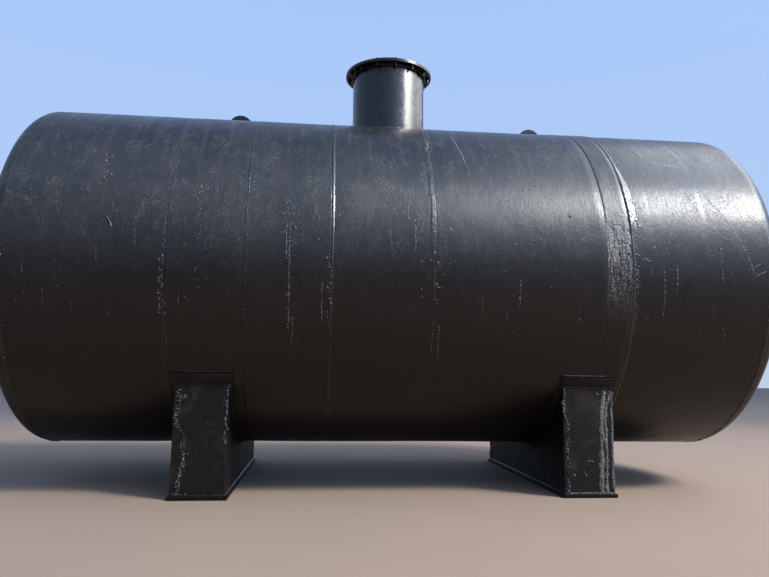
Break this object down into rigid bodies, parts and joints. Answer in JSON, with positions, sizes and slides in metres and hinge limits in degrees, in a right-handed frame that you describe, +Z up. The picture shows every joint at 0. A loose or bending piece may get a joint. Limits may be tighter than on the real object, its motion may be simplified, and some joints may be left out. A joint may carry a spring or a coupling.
{
  "type": "horizontal pressure tank",
  "caption": "Horizontal welded steel tank with dished heads, a top manway neck with a bolted cover, lifting lugs and box saddles.",
  "frame": {"origin": "on the floor under the middle of the tank", "axes": "+X along the tank, +Y from the front to the back, +Z up"},
  "size_m": [5.1514, 2.23, 2.945],
  "materials": {
    "bitumen_coat": "semi-gloss black bitumen coat with brush streaks",
    "band_coat": "rough thick bitumen coat over a strap",
    "head_coat": "semi-gloss black bitumen coat",
    "neck_coat": "glossy black bitumen coat",
    "flange_coat": "satin dark coat",
    "lug_coat": "satin dark coat",
    "saddle_coat": "satin charcoal coat with dust and lumps"
  },
  "bodies": {
    "root": {"shell_course_1": "bitumen_coat", "shell_course_2": "bitumen_coat", "shell_course_3": "bitumen_coat", "shell_course_4": "bitumen_coat", "shell_course_5": "bitumen_coat", "shell_course_6": "bitumen_coat", "joint_band": "band_coat", "head_left": "head_coat", "head_right": "head_coat", "manway_neck": "neck_coat", "manway_flange": "flange_coat", "manway_cover": "flange_coat", "lifting_lug_left": "lug_coat", "lifting_lug_right": "lug_coat", "left_base_plate": "saddle_coat", "left_outer_web": "saddle_coat", "left_inner_web": "saddle_coat", "left_front_plate": "saddle_coat", "left_back_plate": "saddle_coat", "left_wear_plate": "saddle_coat", "right_base_plate": "saddle_coat", "right_outer_web": "saddle_coat", "right_inner_web": "saddle_coat", "right_front_plate": "saddle_coat", "right_back_plate": "saddle_coat", "right_wear_plate": "saddle_coat"}
  },
  "joints": []
}
